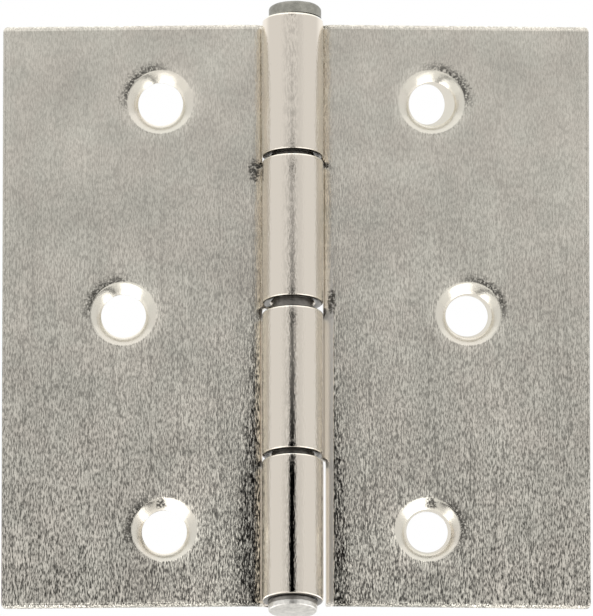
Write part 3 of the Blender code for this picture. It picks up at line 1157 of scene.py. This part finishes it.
@dataclass
class HingePin:
    """Pin through the four knuckles, both ends peened over.

    dome_shape places the ring where the lower dome is flattest, by shares of the head's radius and crown.
    """

    name: str = "hinge_pin_peened"
    node: str = "hinge_pin"
    body: str = "left"
    stock: Stock = field(default_factory=Stock)
    seat: float = 0.08 * MM
    top_diameter: float = 5.35 * MM
    top_height: float = 1.37 * MM
    top_rim: float = 0.4 * MM
    top_shift: float = 0.22 * MM
    low_diameter: float = 4.98 * MM
    low_rim: float = 0.2 * MM
    low_crown: float = 0.15 * MM
    dome_shape: Pair = (0.45, 0.2)
    low_corner: float = -70.0
    low_height: float = 1.2 * MM
    neck_height: float = 0.45 * MM
    sides: int = 128
    rings: int = 6
    dent_size: float = 1.1 * MM
    dent_depth: float = 0.08 * MM
    dent_start: float = 1.5
    sharp: float = math.radians(50)

    def _arc(self, centre: Point, radius: float, start: float, end: float) -> list[Point]:
        """Points of an arc in the profile, between two angles in degrees.

        Args:
            centre: Distance from the axis and height of the centre.
            radius: Radius of the arc.
            start: First angle.
            end: Last angle.

        Returns:
            Distance from the axis and height of each point.
        """
        steps = self.rings
        angles = [math.radians(start + (end - start) * i / steps) for i in range(steps + 1)]
        return [(centre[0] + radius * math.cos(a), centre[1] + radius * math.sin(a)) for a in angles]

    @staticmethod
    def _line(start: Point, end: Point, steps: int) -> list[Point]:
        """Points of a straight stretch of the profile, without its last one."""
        return [tuple(a + (b - a) * i / steps for a, b in zip(start, end)) for i in range(steps)]

    def _profile(self) -> list[Point]:
        """Draws half the section of the pin.

        Returns:
            Points from the middle of its lower end to the middle of its upper end.
        """
        half = self.stock.height / 2
        shank = self.stock.pin_diameter / 2
        top_radius, low_radius = self.top_diameter / 2, self.low_diameter / 2
        top, low = half + self.top_height, -half - self.low_height
        crown = self.low_crown
        dome = (low_radius * self.dome_shape[0], low + crown * self.dome_shape[1])
        points = self._line((0.0, low), dome, self.rings)
        centre = (low_radius - self.low_rim, low + crown + self.low_rim)
        corner = self._arc(centre, self.low_rim, self.low_corner, 0)
        points += self._line(dome, corner[0], self.rings) + corner
        points += self._line((low_radius, -half - self.seat), (shank, -half - self.seat), self.rings)
        points += [(shank, -half - self.seat), (shank, half + self.seat)]
        points += self._line((shank, half + self.seat), (top_radius, half + self.seat), self.rings)[1:]
        rim = self.top_rim
        points += self._line((top_radius, half + self.seat), (top_radius, top - rim), self.rings)
        points += self._arc((top_radius - rim, top - rim), rim, 0, 90)
        points += self._line((top_radius - rim, top), (0.0, top), 2 * self.rings)[1:]
        return points + [(0.0, top)]

    def _dent(self, bm: bmesh.types.BMesh) -> None:
        """Shifts the upper head off centre and hammers both, always inwards.

        Args:
            bm: The turned pin.
        """
        half = self.stock.height / 2
        shank = self.stock.pin_diameter / 2
        bm.normal_update()
        for vert in bm.verts:
            head = abs(vert.co.z) > half + self.seat * self.dent_start
            outer = vert.co.xy.length > shank + self.stock.pin_clearance
            if head:
                depth = self.dent_depth * (0.5 + 0.5 * noise.noise(vert.co / self.dent_size))
                vert.co -= vert.normal * depth
            if vert.co.z > half + self.seat / 2 and (outer or head):
                vert.co.x += self.top_shift

    def build(self) -> bpy.types.Object:
        """Turns the pin and peens its ends.

        Returns:
            The finished pin, riding on its body in place of its solid.
        """
        bm = bmesh.new()
        verts = [bm.verts.new((radius, 0, height)) for radius, height in self._profile()]
        edges = [bm.edges.new(pair) for pair in zip(verts, verts[1:])]
        bmesh.ops.spin(
            bm, geom=verts + edges, cent=(0, 0, 0), axis=(0, 0, 1), angle=2 * math.pi, steps=self.sides,
            use_merge=True,
        )
        bmesh.ops.remove_doubles(bm, verts=bm.verts, dist=MERGE)
        bmesh.ops.recalc_face_normals(bm, faces=bm.faces)
        self._dent(bm)
        piece = add_piece(self.name, bm, self.sharp)
        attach(piece, self.body)
        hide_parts(self.node)
        return piece

    def dress(self, piece: bpy.types.Object, finish: PeenedSteel) -> None:
        """Gives the pin its finish.

        Args:
            piece: The finished pin.
            finish: Its steel.
        """
        reach = self.stock.height / 2
        piece.data.materials.append(finish.material(f"{self.name}_steel", reach, reach + self.neck_height))


@dataclass(frozen=True)
class Card:
    """Flat studio card that only shows in the metal, light or dark. Its hardest ends are a hair wide."""

    name: str
    centre: tuple[float, float, float]
    half: Point
    facing: Facing
    level: float
    soft_sides: float = 0.3
    soft_ends: Pair = (0.3, 0.3)
    foot_level: float | None = None
    top_share: float = 1.0
    hair: float = 0.001

    def build(self) -> bpy.types.Object:
        """Hangs the card.

        Returns:
            The card.
        """
        card = add_square(self.name, 1.0)
        card.location = self.centre
        card.rotation_euler = self.facing.value
        card.scale = (*self.half, 1.0)
        card.visible_camera = False
        card.visible_diffuse = False
        card.visible_shadow = False
        card.data.materials.append(self._paper())
        return card

    def _paper(self) -> bpy.types.Material:
        """Makes the card's light, which fades out towards its edges.

        Returns:
            The material.
        """
        made = bpy.data.materials.new(self.name)
        s = Shading(made)
        x, y, _ = s.axes(s.place())
        reach = 1.0 - (1.0 - self.top_share) * 0.5 * (y + 1.0)
        top, foot = (soft + self.hair for soft in self.soft_ends)
        cover = (abs(x) / reach).rise((1.0, 1.0 - self.soft_sides))
        cover = cover * y.rise((1.0, 1.0 - top)) * y.rise((-1.0, -1.0 + foot))
        light = {"Color": (1.0, 1.0, 1.0, 1.0), "Strength": self.level}
        if self.foot_level is not None:
            light = {"Color": s.blend((y + 1.0) * 0.5, (self.foot_level,) * 3, (self.level,) * 3)}
        s.mix(cover, s.node("ShaderNodeBsdfTransparent"), s.node("ShaderNodeEmission", {}, light))
        return made


@dataclass
class Studio:
    """Pale floor, soft light, cards for the metal to mirror, and the camera."""

    photo_width: int = 593
    photo_height: int = 616
    axis_pixel: tuple[float, float] = (292.75, 309.9)
    pixels_per_mm: float = 9.949
    camera_below: float = math.radians(17.0)
    camera_distance: float = 2.4
    clip: Pair = (0.1, 20.0)
    sensor: float = 36.0
    floor_drop: float = 14.0 * MM
    floor_half: float = 1.5
    floor_colour: Colour = (0.86, 0.86, 0.85)
    plain_light: float = 0.82
    cards: tuple[Card, ...] = (
        Card(
            "front_surround", (0.0, -0.3, 0.09), (0.27, 0.2), Facing.UPRIGHT, 0.95, 0.35, (0.2, 0.2),
            foot_level=0.8,
        ),
        Card("top_light", (0.0, -0.12, 0.4), (0.45, 0.42), Facing.LEVEL, 1.25, 0.15, (0.15, 0.15)),
        Card("flag_upper", (0.0, -0.0214, 0.0204), (0.004, 0.0005), Facing.UPRIGHT, 0.0, 0.2, FLAG_ENDS),
        Card("flag_lower", (0.0, -0.0214, 0.0042), (0.0044, 0.0008), Facing.UPRIGHT, 0.0, 0.2, FLAG_ENDS),
        Card(
            "near_flag", (-0.0008, -0.0215, -0.0595), (0.0048, 0.05), Facing.UPRIGHT, 0.0, 0.05, (0.03, 0.1),
            top_share=0.9,
        ),
        Card(
            "flag_band", (-0.0006, -0.0217, 0.0134), (0.004, 0.0235), Facing.UPRIGHT, 0.9, 0.1, (0.03, 0.0),
            foot_level=0.0, top_share=0.6,
        ),
        Card("boom_flag", (-0.006, -0.29, 0.26), (0.03, 0.10), Facing.UPRIGHT, 0.0, 0.4),
        Card("low_left", (-0.05, -0.015, -0.044), (0.04, 0.05), Facing.LEVEL, 2.2, 0.25),
        Card("low_right", (0.05, -0.015, -0.044), (0.04, 0.05), Facing.LEVEL, 2.2, 0.25),
    )

    def build(self) -> None:
        """Sets up everything round the hinge."""
        self._world()
        self._floor()
        self._lamp("key_lamp", place=(-0.5, -0.7, 0.9), size=0.8, power=7.0)
        self._lamp("fill_lamp", place=(0.7, 0.5, 0.8), size=0.9, power=4.0)
        for card in self.cards:
            card.build()
        self._camera()
        bpy.context.scene.view_settings.view_transform = "Standard"

    def _world(self) -> None:
        """White all round for the camera and for the metal, and a plain level of light."""
        world = bpy.data.worlds.new("studio")
        bpy.context.scene.world = world
        s = Shading(world)
        kinds = ("Is Camera Ray", "Is Glossy Ray", "Is Transmission Ray")
        camera, glossy, through = (s.node("ShaderNodeLightPath", output=kind) for kind in kinds)
        seen = camera.most(glossy).most(through)
        strength = self.plain_light + seen * (1.0 - self.plain_light)
        white = {"Color": (1.0, 1.0, 1.0, 1.0), "Strength": strength}
        s.node("ShaderNodeOutputWorld", {}, {"Surface": s.node("ShaderNodeBackground", {}, white)})

    def _floor(self) -> None:
        """Pale floor a little under the hinge, clear when seen from below."""
        floor = add_square("floor", self.floor_half)
        floor.location = (0.0, 0.0, solid_box[0].z - self.floor_drop)
        made = bpy.data.materials.new("floor_paper")
        s = Shading(made)
        under = s.node("ShaderNodeNewGeometry", output="Backfacing")
        paper = s.node("ShaderNodeBsdfDiffuse", {}, {"Color": (*self.floor_colour, 1.0)})
        s.mix(under, paper, s.node("ShaderNodeBsdfTransparent"))
        floor.data.materials.append(made)

    def _lamp(self, name: str, place: tuple[float, float, float], size: float, power: float) -> None:
        """Hangs one soft lamp that looks at the hinge.

        Args:
            name: Name of the lamp.
            place: Where it hangs.
            size: Side of its square.
            power: Its power in watts.
        """
        light = bpy.data.lights.new(name, "AREA")
        light.size = size
        light.energy = power
        lamp = bpy.data.objects.new(name, light)
        lamp.location = place
        lamp.rotation_mode = "QUATERNION"
        lamp.rotation_quaternion = (-Vector(place)).to_track_quat("-Z", "Y")
        lamp.visible_camera = False
        lamp.visible_glossy = False
        bpy.context.scene.collection.objects.link(lamp)

    def _camera(self) -> None:
        """Long lens below the hinge, so that its sides stay parallel as in the photograph."""
        scale = MM / self.pixels_per_mm
        look = Vector((0.0, math.cos(self.camera_below), math.sin(self.camera_below)))
        up = Vector((0.0, -math.sin(self.camera_below), math.cos(self.camera_below)))
        across = (self.photo_width / 2 - self.axis_pixel[0]) * scale
        rise = (self.axis_pixel[1] - self.photo_height / 2) * scale
        aim = Vector((across, 0.0, 0.0)) + up * rise
        data = bpy.data.cameras.new("camera")
        data.sensor_width = self.sensor
        data.lens = self.sensor * self.camera_distance / (self.photo_height * scale)
        data.clip_start, data.clip_end = self.clip
        camera = bpy.data.objects.new("camera", data)
        camera.location = aim - look * self.camera_distance
        camera.rotation_mode = "QUATERNION"
        camera.rotation_quaternion = look.to_track_quat("-Z", "Y")
        bpy.context.scene.collection.objects.link(camera)
        bpy.context.scene.camera = camera


def hole_pattern(bores: tuple[tuple[float, float, float], ...]) -> tuple[Hole, ...]:
    """The three screw holes, which lie alike on both leaves.

    Args:
        bores: Width, height and shift of each bore.

    Returns:
        The holes from the top one down.
    """
    places = ((15.9 * MM, 22.4 * MM), (12.2 * MM, 0.1 * MM), (16.35 * MM, -22.6 * MM))
    return tuple(Hole(*place, *bore) for place, bore in zip(places, bores))


def main() -> None:
    """Builds and dresses each part of the hinge, then the studio round it."""
    logging.basicConfig(level=logging.INFO, format="%(name)s: %(message)s")
    ends = Knuckles().ends(Stock().height)
    left_bores = ((4.52 * MM, 4.58 * MM, 0.0),) * 3
    right_bores = (
        (3.62 * MM, 4.32 * MM, 0.46 * MM),
        (4.26 * MM, 4.32 * MM, 0.18 * MM),
        (4.16 * MM, 4.32 * MM, 0.05 * MM),
    )
    leaves = (
        Leaf(
            "left_leaf_formed", "left_leaf", "left", Side.LEFT, width=29.3 * MM,
            knuckles=(ends[1], ends[3]), clearances=(0.3 * MM, 0.3 * MM), holes=hole_pattern(left_bores),
            marks=(
                # The second mark is a painted dark reflection at the top of the lower countersink.
                DarkMark(-3.85 * MM, 15.1 * MM, radius=0.7 * MM, squash=0.5),
                DarkMark(-13.23 * MM, -20.0 * MM, radius=0.6 * MM, squash=0.8),
            ),
            strip_width=3.28 * MM, crease_shade=0.0, lift=0.3,
            sink=Countersink(foot=4.53 * MM, depth=0.93 * MM),
        ),
        Leaf(
            "right_leaf_formed", "right_leaf", "right", Side.RIGHT, width=29.95 * MM,
            knuckles=(ends[0], ends[2]), clearances=(0.3 * MM, 0.5 * MM), holes=hole_pattern(right_bores),
            marks=(
                # The second mark is a painted dark reflection at the top of the lower countersink.
                DarkMark(3.9 * MM, 1.3 * MM, radius=0.5 * MM, squash=0.3),
                DarkMark(13.89 * MM, -19.87 * MM, radius=0.65 * MM, squash=1.0),
            ),
            strip_width=4.1 * MM, crease_shade=0.35, lift=0.15,
        ),
    )
    plate = NickelPlate()
    for part, finish in (*((leaf, plate) for leaf in leaves), (HingePin(), PeenedSteel())):
        piece = part.build()
        part.dress(piece, finish)
        LOG.info("%s: %d faces", piece.name, len(piece.data.polygons))
    Studio().build()


if __name__ == "__main__":
    main()
